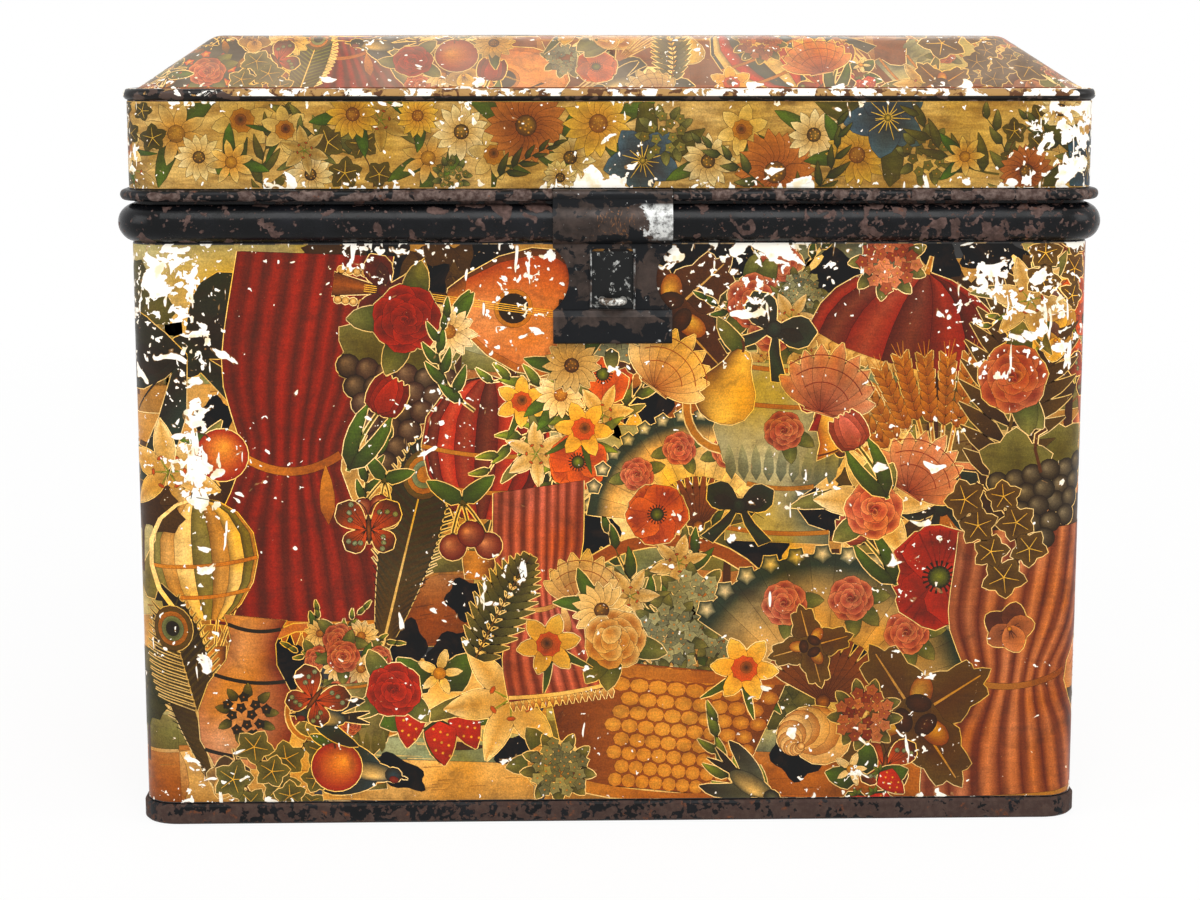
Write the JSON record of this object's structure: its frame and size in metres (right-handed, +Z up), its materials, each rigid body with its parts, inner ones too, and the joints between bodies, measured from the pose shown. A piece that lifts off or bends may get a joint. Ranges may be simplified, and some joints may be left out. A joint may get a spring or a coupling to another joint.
{
  "type": "metal storage box",
  "caption": "Japanned tin storage trunk covered in varnished paper scraps, with a hinged hipped lid, a front hasp over a staple and drop handles on its ends.",
  "frame": {"origin": "middle of the box on the plane it stands on", "axes": "+X to the right as seen from the hasp side, +Y to the hinge side at the back, +Z up"},
  "size_m": [0.474, 0.3597, 0.3845],
  "materials": {
    "japanned_sheet": "gloss",
    "japanned_rim": "satin",
    "japanned_foot": "satin",
    "japanned_fittings": "satin",
    "worn_hasp": "satin",
    "iron_wire": "satin",
    "body_paper": "gloss",
    "band_paper": "gloss",
    "top_paper": "gloss"
  },
  "bodies": {
    "body": {"body_front_wrap": "japanned_sheet", "body_back_sheet": "japanned_sheet", "body_floor_pan": "japanned_foot", "rim_collar": "japanned_rim", "body_paper": "body_paper", "staple_plate": "japanned_fittings", "hasp_staple": "iron_wire", "hinge_body_leaf_right": "japanned_fittings", "hinge_body_leaf_left": "japanned_fittings", "hinge_pin_right": "iron_wire", "hinge_pin_left": "iron_wire", "hinge_body_rivets": "iron_wire", "handle_clips_right": "japanned_fittings", "handle_clips_left": "japanned_fittings", "handle_rivets_right": "iron_wire", "handle_rivets_left": "iron_wire"},
    "lid": {"lid_band": "japanned_rim", "lid_edge_wire": "iron_wire", "lid_top_panel": "japanned_rim", "lid_band_paper": "band_paper", "lid_top_paper": "top_paper", "hinge_lid_leaf_right": "japanned_fittings", "hinge_lid_leaf_left": "japanned_fittings", "hinge_lid_rivets": "iron_wire"},
    "hasp": {"hasp_plate": "worn_hasp"},
    "right_handle": {"handle_bail_right": "japanned_fittings"},
    "left_handle": {"handle_bail_left": "japanned_fittings"}
  },
  "joints": [
    {"name": "lid_hinge", "type": "hinge", "parent": "body", "child": "lid", "pos_m": [0, 0.17475, 0.30512], "axis": [-1, 0, 0], "range_deg": [0, 105]},
    {"name": "hasp_hinge", "type": "hinge", "parent": "lid", "child": "hasp", "pos_m": [0, -0.16805, 0.3086], "axis": [-1, 0, 0], "range_deg": [0, 155]},
    {"name": "right_handle_pivot", "type": "hinge", "parent": "body", "child": "right_handle", "pos_m": [0.2332, 0, 0.205], "axis": [0, -1, 0], "range_deg": [0, 170]},
    {"name": "left_handle_pivot", "type": "hinge", "parent": "body", "child": "left_handle", "pos_m": [-0.2332, 0, 0.205], "axis": [0, 1, 0], "range_deg": [0, 170]}
  ]
}
